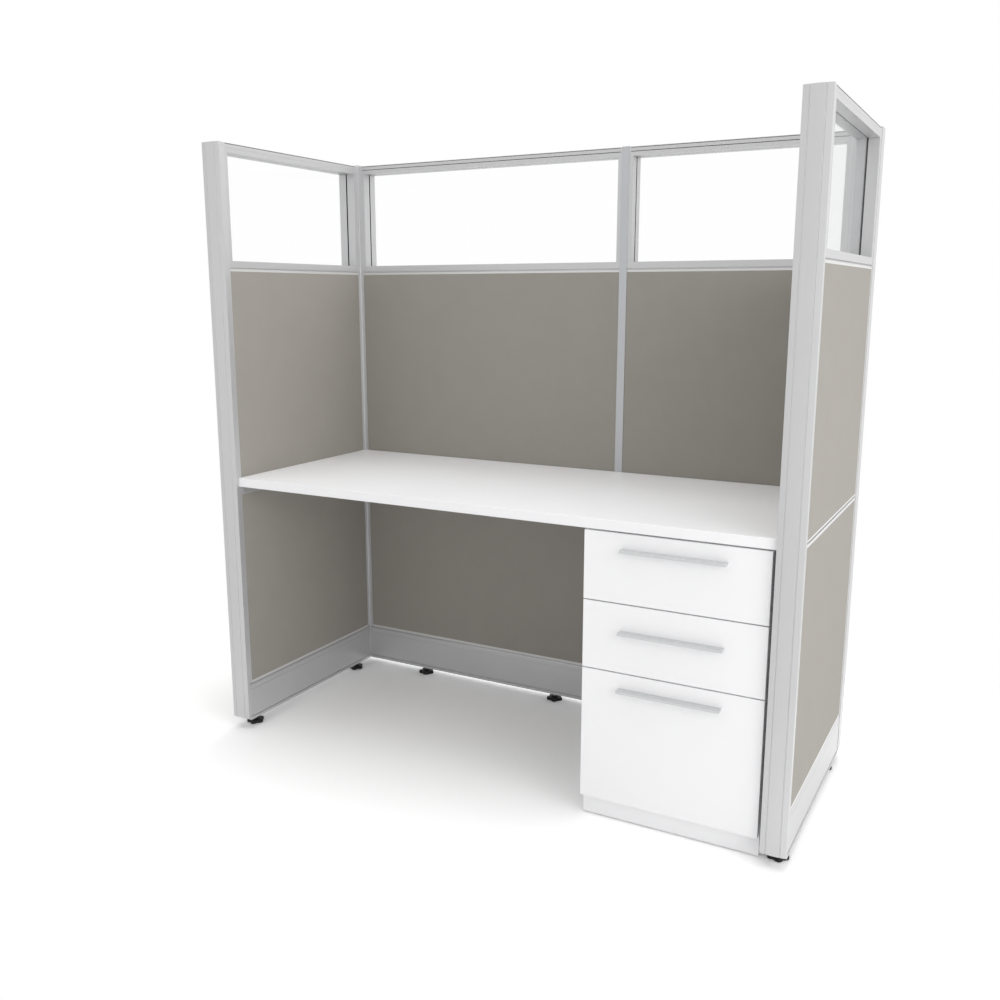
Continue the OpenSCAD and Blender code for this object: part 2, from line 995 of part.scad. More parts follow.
// Four walls and a floor, with two file rails in the file drawer
module drawer_box(d) {
    z0 = box_lows[d];
    z1 = z0 + box_heights[d];
    in_x0 = box_x0 + box_wall + joint;
    in_x1 = box_x1 - box_wall - joint;
    in_y0 = box_front_y + box_wall + joint;
    in_y1 = box_back_y - box_wall - joint;
    floor_z = z0 + box_floor_lift;
    rail_z = z1 + file_rail_rise;
    color(bright)
        in_room() {
            for (x = [box_x0, box_x1 - box_wall])
                block([x, box_front_y, z0], [x + box_wall, box_back_y, z1]);
            for (y = [box_front_y, box_back_y - box_wall])
                block([in_x0, y, z0], [in_x1, y + box_wall, z1]);
            block([in_x0, in_y0, floor_z], [in_x1, in_y1, floor_z + box_floor_t]);
            if (d == len(DRAWERS) - 1)
                for (x = [in_x0, in_x1 - file_rail_t])
                    block(
                        [x, in_y0, rail_z - file_rail_h],
                        [x + file_rail_t, in_y1, rail_z]
                    );
        }
}

// Ledge pull along a drawer front, hollow below for the fingers
module drawer_pull(d) {
    color(silver)
        in_room()
            translate([
                (ped_x0 + ped_x1 - pull_len) / 2,
                front_y,
                front_tops[d] - pull_drops[d] - pull_h / 2
            ])
                difference() {
                    along_x(pull_len)
                        round_front(pull_out, pull_h, pull_r);
                    block(
                        [pull_wall, -pull_out + pull_wall, -cut],
                        [pull_len - pull_wall, -pull_wall, pull_h - pull_plate_t]
                    );
                }
}

for (i = [0 : len(PANELS) - 1]) {
    frame(i);
    upper_tiles(i);
    lower_tiles(i);
    glazing_frame(i);
    top_cap(i);
    base_covers(i);
    levelling_foot(i, false);
    levelling_foot(i, true);
}
tile_edge_strips();
glass_panes();
glazing_gaskets();
corner_posts();
end_trims();
seam_cover();
worksurface();
worksurface_brackets();
pedestal_case();
pedestal_back();
pedestal_toe_board();
pedestal_pads();
runner_outers();
for (d = [0 : len(DRAWERS) - 1]) {
    drawer_front(d);
    drawer_box(d);
    drawer_pull(d);
    runner_inners(d);
    runner_middles(d);
}
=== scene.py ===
# %% [markdown]
# # Cubicle workstation
# This lesson dresses a finished CAD model of an office cubicle: four framed panels with
# cloth tiles and glass, a white worksurface and a drawer pedestal. The solids come in
# as a fixed frame, in metres, and keep their shape. What is left for Blender is the
# camera, the finishes, the small hardware and the light.

import json
import math

import bmesh
import bpy
from mathutils import Matrix, Vector


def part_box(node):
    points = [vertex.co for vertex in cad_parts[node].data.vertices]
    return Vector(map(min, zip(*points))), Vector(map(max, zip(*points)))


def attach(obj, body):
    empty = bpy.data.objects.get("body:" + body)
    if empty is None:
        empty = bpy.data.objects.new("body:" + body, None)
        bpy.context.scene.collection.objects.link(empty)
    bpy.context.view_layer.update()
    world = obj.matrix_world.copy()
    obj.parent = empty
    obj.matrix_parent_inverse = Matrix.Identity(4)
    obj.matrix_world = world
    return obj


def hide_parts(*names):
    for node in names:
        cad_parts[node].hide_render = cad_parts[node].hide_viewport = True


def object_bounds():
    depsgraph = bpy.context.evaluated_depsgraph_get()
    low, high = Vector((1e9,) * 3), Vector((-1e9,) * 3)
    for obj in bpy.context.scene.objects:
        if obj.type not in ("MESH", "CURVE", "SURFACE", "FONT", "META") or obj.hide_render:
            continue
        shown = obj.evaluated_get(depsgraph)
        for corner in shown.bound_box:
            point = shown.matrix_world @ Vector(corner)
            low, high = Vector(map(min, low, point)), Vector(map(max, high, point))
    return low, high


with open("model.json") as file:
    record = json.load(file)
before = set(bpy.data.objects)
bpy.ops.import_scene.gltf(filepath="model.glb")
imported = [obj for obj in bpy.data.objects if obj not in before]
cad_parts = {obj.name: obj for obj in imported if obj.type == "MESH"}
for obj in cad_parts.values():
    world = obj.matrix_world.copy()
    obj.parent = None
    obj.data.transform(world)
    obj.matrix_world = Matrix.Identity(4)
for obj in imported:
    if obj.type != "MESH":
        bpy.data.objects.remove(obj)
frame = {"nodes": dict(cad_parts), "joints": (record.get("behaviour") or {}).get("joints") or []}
cad_low, cad_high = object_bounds()
print("CAD box, m:", [round(b - a, 4) for a, b in zip(cad_low, cad_high)])

# %% [markdown]
# ## Camera
# The vertical edges of the panels lean together towards the floor, so the camera looks
# down a little. Its place could be found by trying, but straight edges of known length
# fix it far more closely: place, turn and tilt were worked out from the panels' edges. A
# 36 mm lens on a 36 mm sensor sees as wide an angle as they ask for, and needs no shift.

# %% Set the camera
TURN = 28.533
TILT = 11.6
LENS_MM = 36.0
SENSOR_MM = 36.0
eye = Vector((1.2325, -2.435125, 1.278))

lens = bpy.data.cameras.new("studio_camera")
lens.lens = LENS_MM
lens.sensor_width = SENSOR_MM
lens.clip_start = 0.05
lens.clip_end = 200.0
camera = bpy.data.objects.new("studio_camera", lens)
camera.location = eye
camera.rotation_euler = (math.radians(90.0 - TILT), 0.0, math.radians(TURN))
bpy.context.collection.objects.link(camera)
bpy.context.scene.camera = camera
print("camera at", [round(c, 3) for c in eye], "turned", TURN, "tilted", TILT)

# %% [markdown]
# ## Shader maths as Python
# Drawing node graphs by hand hides the sum that they stand for. Here a socket is
# wrapped in a small class whose operators add the Math nodes, so a weave or a streak
# reads as a formula.

# %% A socket with operators


class Value:
    """One socket of a graph. Python's operators on it become Math nodes."""

    def __init__(self, graph, socket):
        self.graph = graph
        self.socket = socket

    def math(self, operation, *terms):
        inputs = dict(enumerate(terms))
        return self.graph.node("ShaderNodeMath", {"operation": operation}, inputs)["Value"]

    def __add__(self, other):
        return self.math("ADD", self, other)

    def __sub__(self, other):
        return self.math("SUBTRACT", self, other)

    def __rsub__(self, other):
        return self.math("SUBTRACT", other, self)

    def __mul__(self, other):
        return self.math("MULTIPLY", self, other)

    def __pow__(self, other):
        return self.math("POWER", self, other)

    def __rpow__(self, other):
        return self.math("POWER", other, self)

    def __abs__(self):
        return self.math("ABSOLUTE", self)

    __radd__ = __add__
    __rmul__ = __mul__

    def at_least(self, other):
        return self.math("MAXIMUM", self, other)

    def wave(self, length):
        """A sine along this value that repeats after a length, from -1 to 1."""
        return self.math("SINE", self * (math.tau / length))


print("operators ready:", [n for n in vars(Value) if n.startswith("__r")])

# %% [markdown]
# ## Graphs and finishes
# Every other node comes from one method, `node`, which takes the node's type, its
# settings, which are set first, and the values or links of its sockets. Its first half,
# `add`, also makes the two nodes that a graph keeps at hand: its output and its main
# shader. A finish is a graph with one Principled shader. It adds the few patterns that
# most surfaces share, such as cloudy noise and a tone that wanders between two.

# %% A graph and its nodes


class Graph:
    """A node tree that starts empty, and a short way to add nodes."""

    def __init__(self, tree, ending):
        self.tree = tree
        self.tree.nodes.clear()
        self.end = self.add(ending)

    def add(self, kind, settings=None):
        made = self.tree.nodes.new(kind)
        for key, value in (settings or {}).items():
            setattr(made, key, value)
        return made

    def plug(self, socket, value):
        if isinstance(value, Value):
            self.tree.links.new(value.socket, socket)
        else:
            socket.default_value = value

    def node(self, kind, settings=None, inputs=None):
        made = self.add(kind, settings)
        for key, value in (inputs or {}).items():
            self.plug(made.inputs[key], value)
        return {s.name: Value(self, s) for s in made.outputs if s.enabled}

    def mix(self, factor, first, second):
        """The first shader where the factor is 0, and the second where it is 1."""
        inputs = {0: factor, 1: first, 2: second}
        return self.node("ShaderNodeMixShader", inputs=inputs)["Shader"]

    def show(self, shader):
        self.plug(self.end.inputs["Surface"], shader)


print("graph helper ready")

# %% A finish


class Finish(Graph):
    """A material with one Principled shader, and the patterns that feed it."""

    def __init__(self, name):
        self.material = bpy.data.materials.new(name)
        self.material.use_nodes = True
        super().__init__(self.material.node_tree, "ShaderNodeOutputMaterial")
        self.shader = self.add("ShaderNodeBsdfPrincipled")
        self.own = Value(self, self.shader.outputs["BSDF"])
        self.show(self.own)

    def set(self, **values):
        for key, value in values.items():
            self.plug(self.shader.inputs[key.replace("_", " ")], value)
        return self

    def place(self):
        """Where a point lies on the piece, in metres, along X, Y and Z."""
        where = self.node("ShaderNodeTexCoord")["Object"]
        parts = self.node("ShaderNodeSeparateXYZ", inputs={"Vector": where})
        return parts["X"], parts["Y"], parts["Z"]

    def noise(self, scale, detail, stretch=(1.0, 1.0, 1.0)):
        """Cloudy values from 0 to 1, `scale` of them to the metre."""
        where = self.node("ShaderNodeTexCoord")["Object"]
        sized = self.node(
            "ShaderNodeVectorMath",
            {"operation": "MULTIPLY"},
            {0: where, 1: tuple(scale * s for s in stretch)},
        )["Vector"]
        inputs = {"Vector": sized, "Scale": 1.0, "Detail": detail}
        return self.node("ShaderNodeTexNoise", inputs=inputs)["Fac"]

    def tones(self, factor, tone, dark, light):
        """A tone times dark where the factor is 0, and times light where it is 1."""
        low, high = ((*(c * share for c in tone), 1.0) for share in (dark, light))
        inputs = {0: factor, 6: low, 7: high}
        return self.node("ShaderNodeMix", {"data_type": "RGBA"}, inputs)["Result"]

    def bumped(self, height, depth):
        """Tips the surface as a height from 0 to 1 would, over a depth in metres."""
        inputs = {"Height": height, "Distance": depth}
        return self.set(Normal=self.node("ShaderNodeBump", inputs=inputs)["Normal"])


def around(factor, middle, spread):
    """A factor from 0 to 1 as a value that wanders about a middle."""
    return factor * spread + (middle - spread / 2)


def srgb(red, green, blue):
    """A colour as the eye reads it, 0 to 255, as the linear one that a shader takes."""

    def linear(c):
        c /= 255.0
        return c / 12.92 if c <= 0.04045 else ((c + 0.055) / 1.055) ** 2.4

    return linear(red), linear(green), linear(blue)


print("mid grey of 128 as a shader takes it:", round(srgb(128, 128, 128)[0], 3))

# %% [markdown]
# ## Silver metalwork
# The frames, caps, trims and covers are extruded aluminium and steel with one satin
# silver paint; the seam cover gets a darker copy of it, which is painted shade. One flat
# colour would look like plastic. The die leaves faint streaks along an extrusion, upwards
# on posts and sideways on rails, and a noise that is squeezed across the grain and drawn
# out along it gives both. It moves only the gloss and a trace of the tone. A full metal
# would mirror the room too sharply, so the paint is only partly metallic.

# %% Silver finishes
# scale of the noise along X, Y and Z: a small one draws it out
ALONG_Z = (1.0, 1.0, 0.004)
ALONG_XY = (0.004, 0.004, 1.0)
# features to the metre, here and in the finishes that follow
STREAKS = 700.0
CLOUDS = 9.0
STREAK_DEPTH = 0.00002


def silver(name, tone, grain, metal=0.45, rough=0.38):
    finish = Finish(name)
    streak = finish.noise(STREAKS, 2.0, grain)
    cloud = finish.noise(CLOUDS, 3.0)
    mixed = streak * 0.6 + cloud * 0.4
    finish.set(
        Base_Color=finish.tones(mixed, tone, 0.965, 1.03),
        Metallic=metal,
        Roughness=around(mixed, rough, 0.12),
    )
    return finish.bumped(streak, STREAK_DEPTH).material


silver_up = silver("silver_uprights", srgb(201, 201, 202), ALONG_Z)
silver_level = silver("silver_rails", srgb(196, 196, 197), ALONG_XY)
# painted shade: the seam cover's silver is a darker copy of the same paint, for the shade it
# stands in
shaded_seam_silver = silver("seam_silver_painted_shade", srgb(186, 187, 190), ALONG_Z)
edge_silver = silver("bright_tile_edges", srgb(210, 210, 209), ALONG_XY, 0.3, 0.3)
pull_silver = silver("satin_pulls", srgb(207, 208, 209), ALONG_XY, 0.4, 0.3)
zinc = silver("zinc_plated_steel", srgb(182, 185, 190), ALONG_XY, 0.85, 0.38)
print("streaks per metre:", STREAKS, "silver finishes:", 6)

# %% [markdown]
# ## Panel cloth
# The tiles are boards wrapped in a plain taupe panel cloth. Its threads cross at right
# angles, and here they are set a little under two millimetres apart. A picture of cloth
# would repeat and need unwrapping. Two sine waves don't: one runs with the height, the
# other with x + y, which follows the surface on the back panels and the returns alike.
# The yarn isn't quite even, so two noises shift the tone.

# %% Tile cloth
YARN = 0.0019
FLECKS = 650.0
PATCHES = 14.0
WEAVE_DEPTH = 0.0003


def cloth(name, tone):
    finish = Finish(name)
    x, y, z = finish.place()
    fleck = finish.noise(FLECKS, 3.0)
    patch = finish.noise(PATCHES, 3.0)
    weft = (x + y).wave(YARN)
    warp = z.wave(YARN)
    weave = weft * warp * 0.5 + 0.5
    tint = fleck * 0.4 + patch * 0.15 + weave * 0.45
    finish.set(
        Base_Color=finish.tones(tint, tone, 0.72, 1.28),
        Roughness=around(fleck, 0.87, 0.1),
        Sheen_Weight=0.08,
        Sheen_Roughness=0.5,
        Specular_IOR_Level=0.3,
    )
    return finish.bumped(weave * 0.7 + fleck * 0.3, WEAVE_DEPTH).material


taupe_cloth = cloth("taupe_panel_cloth", srgb(156, 152, 145))
print("cloth threads per metre:", round(1.0 / YARN))

# %% [markdown]
# ## White laminate and drawer boards
# The worksurface and the pedestal are board faced in white laminate, with a very fine
# pebbled texture that blurs reflections. The drawer boxes are of a duller, pale grey
# board. The pebbles could be modelled, at the cost of millions of faces. A noise with a
# tiny bump reads the same, and a larger noise moves the gloss, as wiped laminate shows.

# %% Board finishes
PEBBLES = 1400.0
WIPES = 5.0
PEBBLE_DEPTH = 0.00002


def laminate(name, tone, rough):
    finish = Finish(name)
    pebble = finish.noise(PEBBLES, 1.0)
    wiped = finish.noise(WIPES, 4.0)
    finish.set(
        Base_Color=finish.tones(wiped, tone, 0.985, 1.01),
        Roughness=around(wiped, rough, 0.1),
    )
    return finish.bumped(pebble, PEBBLE_DEPTH).material


white_board = laminate("white_laminate", srgb(247, 247, 248), 0.42)
box_board = laminate("pale_grey_board", srgb(226, 226, 224), 0.55)
print("pebbles per metre:", PEBBLES, "board finishes:", 2)

# %% [markdown]
# ## Moulded plastic and rubber
# The feet and pads are black nylon with a fine spark-eroded grain from the mould, and
# the gaskets, bumpers and seals are plain rubber; the black and grey seals in the panel
# joints are painted shade. Both are dark and dull, and a smooth black would look like
# a hole in the picture. One noise gives the grain, the small change of tone and the
# uneven gloss, so that an edge still catches light.

# %% Dark finishes


def moulded(name, tone, rough, grain, depth):
    finish = Finish(name)
    speck = finish.noise(grain, 2.0)
    finish.set(
        Base_Color=finish.tones(speck, tone, 0.8, 1.25),
        Roughness=around(speck, rough, 0.14),
        Specular_IOR_Level=0.3,
    )
    return finish.bumped(speck, depth).material


black_nylon = moulded("black_nylon", (0.010, 0.010, 0.011), 0.52, 1800.0, 0.00006)
black_rubber = moulded("black_rubber", (0.014, 0.014, 0.014), 0.7, 900.0, 0.00004)
# painted shade: this grey only darkens the groove under the back panels' caps
groove_shade_grey = moulded("groove_shade_grey", (0.150, 0.152, 0.155), 0.7, 900.0, 0.00004)
print("dark finishes:", 3)

# %% [markdown]
# ## Glass
# The panes are plain glass, 3 mm thick. A refracting shader would throw a dark shadow,
# because light doesn't find its way through it, so the glass is a mix: the part that a
# pane reflects goes to a mirror, and the rest to a transparent shader with a trace of
# green. Glass reflects little of what faces it and much more at a slant, which the fifth
# power of the slant gives. A faint smear moves the sharpness of the mirror.

# %% Window glass
MIRROR = (0.55, 0.56, 0.57, 1.0)
CLEAR = (0.999, 1.0, 0.9995, 1.0)
FACING_GLOSS = 0.008
SLANT_GLOSS = 0.5
SMEARS = 6.0


def window_glass(name):
    finish = Finish(name)
    smear = finish.noise(SMEARS, 4.0)
    finish.set(Base_Color=MIRROR, Metallic=1.0, Roughness=around(smear, 0.02, 0.02))
    clear = finish.node("ShaderNodeBsdfTransparent", inputs={"Color": CLEAR})["BSDF"]
    slant = finish.node("ShaderNodeLayerWeight", inputs={"Blend": 0.5})["Facing"]
    gloss = slant ** 5.0 * SLANT_GLOSS + FACING_GLOSS
    finish.show(finish.mix(gloss, clear, finish.own))
    return finish.material


glass = window_glass("clear_glass")
print("glass reflects", FACING_GLOSS, "when faced")

# %% [markdown]
# ## Paint the solids
# Each CAD node keeps its mesh, and only the material in its slots changes. The nodes'
# names say what they are, so one table from the start of a name to a finish does all.

# %% Finish of each solid
FINISHES = {
    "frame_": silver_up,
    "upper_tiles_": taupe_cloth,
    "lower_tiles_": taupe_cloth,
    "tile_edge_strips": edge_silver,
    "glazing_frame_": silver_level,
    "glass_panes": glass,
    "glazing_gaskets": black_rubber,
    "top_cap_": silver_level,
    "base_covers_": silver_level,
    "corner_posts": silver_up,
    "end_trims": silver_up,
    "seam_cover": shaded_seam_silver,
    "levelling_foot_": black_nylon,
    "worksurface_brackets": silver_level,
    "worksurface": white_board,
    "pedestal_pads": black_nylon,
    "pedestal_": white_board,
    "runner_": zinc,
    "drawer_front_": white_board,
    "drawer_box_": box_board,
    "drawer_pull_": pull_silver,
}


def paint(piece, finish):
    piece.data.materials.clear()
    piece.data.materials.append(finish)


for name, node in frame["nodes"].items():
    start = next(s for s in FINISHES if name.startswith(s))
    paint(node, FINISHES[start])
print("painted", len(frame["nodes"]), "solids with", len(set(FINISHES.values())), "finishes")

# %% [markdown]
# ## Levelling feet
# A foot is a moulded knob with five lobes, which a hand turns, on a threaded steel
# stem. The solid has sharp edges and a plain stem. Bevels would round its edges, but not
# shape the dished top and the collar. A grid of points does all of it: round the axis the
# radius swells at each lobe, and from one ring to the next it follows a rounded profile.

# %% Mesh from rings of points


def ring_mesh(name, rings):
    """A closed mesh through rings with equal numbers of points."""
    count = len(rings[0])
    points = [p for ring in rings for p in ring]
    faces = []
    for r in range(len(rings) - 1):
        for k in range(count):
            a, b = r * count + k, r * count + (k + 1) % count
            faces.append((a, b, b + count, a + count))
    faces.append(tuple(reversed(range(count))))
    faces.append(tuple(range((len(rings) - 1) * count, len(rings) * count)))
    mesh = bpy.data.meshes.new(name)
    mesh.from_pydata(points, [], faces)
    mesh.validate()
    mesh.shade_smooth()
    return mesh


def add_piece(name, mesh, finish, body, sharp=40.0):
    """A new piece on a body. Edges sharper than an angle in degrees stay crisp."""
    piece = bpy.data.objects.new(name, mesh)
    bpy.context.collection.objects.link(piece)
    paint(piece, finish)
    mesh.set_sharp_from_angle(angle=math.radians(sharp))
    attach(piece, body)
    return piece


print("mesh helpers ready")

# %% Lobed knob
LOBES = 5
LOBE_DEPTH = 0.0062
KNOB_R = 0.026
KNOB_H = 0.009
COLLAR_R = 0.010
COLLAR_TOP = 0.014
# inset from the lobed outline and height, from the underside up over the rim
RIM = [(0.0012, 0.0), (0.0003, 0.0005), (0.0, 0.0014), (0.0, 0.0068), (0.0005, 0.0081),
       (0.0018, 0.0088), (0.0040, KNOB_H)]
# radius and height of the dished top and the collar
NECK = [(0.0125, 0.0093), (COLLAR_R, 0.0104), (0.0094, 0.0130), (0.0087, COLLAR_TOP),
        (0.0052, COLLAR_TOP)]


def lobed(angle):
    """Radius of the knob's outline at an angle: full at a lobe, less between two."""
    swell = 0.5 + 0.5 * math.cos(LOBES * angle)
    return KNOB_R - LOBE_DEPTH * (1.0 - swell ** 0.8)


def knob_mesh(name, centre, points=120):
    angles = [math.tau * k / points for k in range(points)]
    rings = [
        [(centre.x + (lobed(a) - inset) * math.cos(a),
          centre.y + (lobed(a) - inset) * math.sin(a), z) for a in angles]
        for inset, z in RIM
    ]
    rings += [
        [(centre.x + r * math.cos(a), centre.y + r * math.sin(a), z) for a in angles]
        for r, z in NECK
    ]
    return ring_mesh(name, rings)


print("knob radius between lobes, mm:", round(lobed(math.pi / LOBES) * 1000, 1))

# %% [markdown]
# ## Threaded stem
# The stem is a steel rod with a fine thread, and a hand's width away its ridges catch
# the light. A bump could draw them, but the outline would stay smooth. A second grid of
# points has the ridges in its shape: the radius rises and falls once for each pitch, and
# the pattern shifts by one pitch as it goes once round, which winds it into a helix.

# %% Mesh of a thread
STEM_R = 0.005
PITCH = 0.0015
THREAD_DEPTH = 0.0008
FLAT_CREST = 1.3
STEM_START = COLLAR_TOP - 0.001


def thread_mesh(name, centre, low, high, points=32, steps=8):
    """A stem whose radius rises and falls once for each pitch round and up."""
    rows = int((high - low) / PITCH * steps)
    rings = []
    for r in range(rows + 1):
        z = low + (high - low) * r / rows
        ring = []
        for k in range(points):
            turn = k / points
            ridge = abs(((z / PITCH - turn) % 1.0) * 2.0 - 1.0)
            radius = STEM_R - THREAD_DEPTH * (1.0 - min(1.0, ridge * FLAT_CREST))
            angle = math.tau * turn
            ring.append((centre.x + radius * math.cos(angle),
                         centre.y + radius * math.sin(angle), z))
        rings.append(ring)
    return ring_mesh(name, rings)


print("thread pitch, mm:", PITCH * 1000)

# %% Make the eight feet
feet = [n for n in frame["nodes"] if n.startswith("levelling_foot_")]
for node in feet:
    _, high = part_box(node)
    # the lobes lie unevenly round the box, but the stem's own axis is the joint's
    joint = next(j for j in frame["joints"] if j["child"] == node)
    centre = Vector(joint["pos_m"])
    knob = add_piece(node + "_knob", knob_mesh(node + "_knob", centre),
                     black_nylon, node)
    stem = add_piece(node + "_stem",
                     thread_mesh(node + "_stem", centre, STEM_START, high.z),
                     zinc, node, 25.0)
    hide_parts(node)
print("feet:", len(feet), "faces of a stem:", len(stem.data.polygons))

# %% [markdown]
# ## Seals in the joints
# Thin joints run along every panel. Black rubber lies between the upper and the lower
# tiles and in the fine line near the cap's top, so both read as crisp dark lines: these
# dark strips are painted shade, put where the joints would only be in shadow. Grey rubber
# in the groove under the back panels' caps is painted shade as well, and silver strips
# close the other joints: under the other caps, over the tiles and over the base. Dark
# paint in the joints would do from afar. Real strips look right from near as well, and
# each is just a closed profile drawn out from end to end, as an extruder makes it.

# %% Bar with a profile


def extrusion(bm, profile, start, end, out):
    """A bar with a closed profile of (out, up) points, from start to end."""
    rings = []
    for point in (start, end):
        rings.append([bm.verts.new(point + out * o + Vector((0.0, 0.0, u)))
                      for o, u in profile])
    first, last = rings
    count = len(profile)
    for k in range(count):
        n = (k + 1) % count
        bm.faces.new((first[k], first[n], last[n], last[k]))
    bm.faces.new(tuple(reversed(first)))
    bm.faces.new(last)


def faces_of_panel(node):
    """The two long faces of a panel's piece: end points, way out, and if it is outer."""
    low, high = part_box(node)
    middle = (low + high) / 2
    along_x = high.x - low.x > high.y - low.y
    for sign, edge in ((-1.0, low), (1.0, high)):
        if along_x:
            out = Vector((0.0, sign, 0.0))
            start, end = Vector((low.x, edge.y, 0.0)), Vector((high.x, edge.y, 0.0))
        else:
            out = Vector((sign, 0.0, 0.0))
            start, end = Vector((edge.x, low.y, 0.0)), Vector((edge.x, high.y, 0.0))
        yield start, end, out, out.dot(middle) > 0.0


def lay(bm, profile, low, high, face):
    """Lays a profile along a face, midway between two heights."""
    start, end, out = face
    up = Vector((0.0, 0.0, (low + high) / 2))
    extrusion(bm, profile, start + up, end + up, out)


def piece_from(bm, name, finish):
    bmesh.ops.recalc_face_normals(bm, faces=bm.faces)
    mesh = bpy.data.meshes.new(name)
    bm.to_mesh(mesh)
    bm.free()
    mesh.shade_smooth()
    return add_piece(name, mesh, finish, "station", 50.0)


print("faces of a panel to seal:", len(list(faces_of_panel("top_cap_back_wide"))))

# %% Profiles of the seals
HALF_JOINT = 0.00145
# painted shade: dark rubber in the joint between the upper and lower tiles
JOINT_SHADE_SEAL = [(-0.0050, -HALF_JOINT), (-0.0050, HALF_JOINT), (-0.0028, HALF_JOINT),
              (-0.0021, 0.0010), (-0.0018, 0.0), (-0.0021, -0.0010),
              (-0.0028, -HALF_JOINT)]
# painted shade: a dark bead in the fine line near the cap's top draws its shadow line
SHADOW_BEAD = [(-0.00064, 0.0), (-0.00045, 0.00045), (-0.00004, 0.00064),
        (-0.00004, -0.00064), (-0.00045, -0.00045)]
# painted shade: grey rubber darkens the groove under the back caps
GROOVE_SHADE_SEAL = [(-0.00195, -0.00095), (-0.00195, 0.00095), (-0.0015, 0.00095),
               (-0.0010, 0.0), (-0.0015, -0.00095)]
SHADOW_BEAD_DROP = 0.0026
CAP_GROOVE = 0.002


def flat_strip(height, deep, under):
    """A strip that fills a joint of a height, its front a little under the face."""
    play = 0.00005
    half = height / 2 - play
    soft = 0.0001
    return [(-deep, -half), (-deep, half), (-under - soft, half), (-under, half - soft),
            (-under, soft - half), (-under - soft, -half)]


CAP_STRIP = flat_strip(CAP_GROOVE, 0.00195, 0.00004)
print("joint seal, mm high:", HALF_JOINT * 2000, "cap strip:", CAP_GROOVE * 1000)

# %% Lay the seals
PANELS = ("left_return", "back_wide", "back_narrow", "right_return")
STRIP_DEPTH = 0.006
INNER_SILL = 0.0016
OUTER_SILL = 0.0032
OVER_BASE = 0.0006

shade_rubber_bm = bmesh.new()
groove_shade_bm = bmesh.new()
filler_bm = bmesh.new()
strips_low, strips_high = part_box("tile_edge_strips")
for panel in PANELS:
    upper_low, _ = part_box("upper_tiles_" + panel)
    _, lower_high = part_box("lower_tiles_" + panel)
    sill_low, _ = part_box("glazing_frame_" + panel)
    _, base_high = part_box("base_covers_" + panel)
    cap_low, cap_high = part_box("top_cap_" + panel)
    sill_joint = sill_low.z - strips_high.z
    base_joint = strips_low.z - base_high.z
    base_strip = flat_strip(base_joint, STRIP_DEPTH, OVER_BASE)
    for *face, outer in faces_of_panel("upper_tiles_" + panel):
        under = OUTER_SILL if outer else INNER_SILL
        sill_strip = flat_strip(sill_joint, STRIP_DEPTH, under)
        # painted shade: a dark strip in the joint between the tiles
        lay(shade_rubber_bm, JOINT_SHADE_SEAL, lower_high.z, upper_low.z, face)
        lay(filler_bm, sill_strip, strips_high.z, sill_low.z, face)
        lay(filler_bm, base_strip, base_high.z, strips_low.z, face)
    for *face, outer in faces_of_panel("top_cap_" + panel):
        # painted shade: the dark bead near the cap's top
        shadow_bead_z = cap_high.z - SHADOW_BEAD_DROP
        lay(shade_rubber_bm, SHADOW_BEAD, shadow_bead_z, shadow_bead_z, face)
        groove = cap_low.z, cap_low.z + CAP_GROOVE
        if outer or "return" in panel:
            lay(filler_bm, CAP_STRIP, *groove, face)
        else:
            # painted shade: grey in the groove under a back cap
            lay(groove_shade_bm, GROOVE_SHADE_SEAL, *groove, face)

# the black and grey strips are painted shade; the silver ones fill joints
seals = piece_from(shade_rubber_bm, "joint_shade_seals", black_rubber)
groove_shade_strips = piece_from(groove_shade_bm, "cap_groove_shade_seals", groove_shade_grey)
fillers = piece_from(filler_bm, "joint_strips", silver_level)
print("faces of seals and strips:",
      [len(p.data.polygons) for p in (seals, groove_shade_strips, fillers)])

# %% [markdown]
# ## Screws
# The brackets, the drawer fronts and the runners are held by cross-head screws. A flat
# disc would lose the cross that makes it a screw. So one screw is made once, as rings of
# points round its axis, with the cross cut out by a Boolean modifier that is then
# applied. Its mesh is stamped wherever a screw sits, and each group of screws is joined
# into a single object: one for the brackets, and one for the fronts and one for the
# runners of each drawer.

# %% One pan-head screw


def cross_cutter(width, reach, depth, top):
    """Two crossed wedges that narrow towards the bottom of the recess."""
    bm = bmesh.new()
    for turn in (0.0, math.pi / 2):
        made = bmesh.ops.create_cube(bm, size=1.0)
        for v in made["verts"]:
            taper = 1.0 if v.co.z > 0 else 0.45
            v.co = Vector((v.co.x * 2 * reach * taper, v.co.y * width,
                           top + (v.co.z - 0.5) * depth + depth * 0.25))
            v.co = Matrix.Rotation(turn, 3, "Z") @ v.co
    mesh = bpy.data.meshes.new("cross_cutter")
    bm.to_mesh(mesh)
    bm.free()
    return mesh


